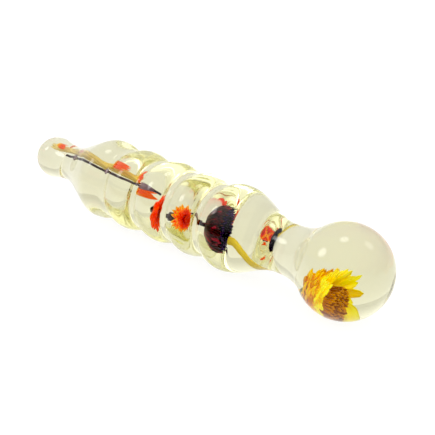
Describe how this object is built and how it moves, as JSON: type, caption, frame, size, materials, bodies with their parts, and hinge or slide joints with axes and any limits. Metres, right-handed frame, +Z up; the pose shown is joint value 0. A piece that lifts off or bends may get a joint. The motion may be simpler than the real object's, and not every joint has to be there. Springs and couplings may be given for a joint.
{
  "type": "resin hand wand",
  "caption": "Clear cast-resin hand wand: large ball end, waist, row of rounded rings, cone, thin neck and small ball tail, with dried flowers set inside.",
  "frame": {"origin": "under the middle of the wand, at the height that the large ball rests on", "axes": "+X along the wand's axis towards the large ball; +Z up"},
  "size_m": [0.175, 0.035, 0.035],
  "materials": {
    "clear_resin": "gloss",
    "yellow_petal": "matte",
    "amber_petal": "matte",
    "brown_disc": "matte",
    "dried_calyx": "matte",
    "ochre_stem": "matte",
    "plum_scale": "satin",
    "violet_floret": "matte",
    "orange_petal": "matte",
    "red_petal": "matte",
    "red_heart": "matte",
    "dark_twig": "matte",
    "straw_stalk": "matte"
  },
  "bodies": {
    "root": {"resin_front_pour": "clear_resin", "resin_back_pour": "clear_resin", "strawflower_receptacle": "dried_calyx", "strawflower_outer_bracts": "amber_petal", "strawflower_middle_bracts": "yellow_petal", "strawflower_inner_bracts": "yellow_petal", "strawflower_disc": "brown_disc", "strawflower_stem": "ochre_stem", "plum_flower_cup": "plum_scale", "plum_flower_florets": "violet_floret", "plum_flower_spur": "plum_scale", "plum_flower_stem": "dark_twig", "orange_flower_rear_calyx": "dark_twig", "orange_flower_rear_outer_petals": "orange_petal", "orange_flower_rear_inner_petals": "red_petal", "orange_flower_rear_heart": "red_heart", "orange_flower_front_calyx": "dark_twig", "orange_flower_front_outer_petals": "amber_petal", "orange_flower_front_inner_petals": "red_petal", "orange_flower_front_heart": "red_heart", "spray_stalk": "straw_stalk", "dark_twig": "dark_twig", "spray_bud_1": "orange_petal", "spray_bud_2": "orange_petal", "spray_bud_3": "orange_petal", "spray_bud_4": "orange_petal", "spray_bud_5": "orange_petal"}
  },
  "joints": []
}
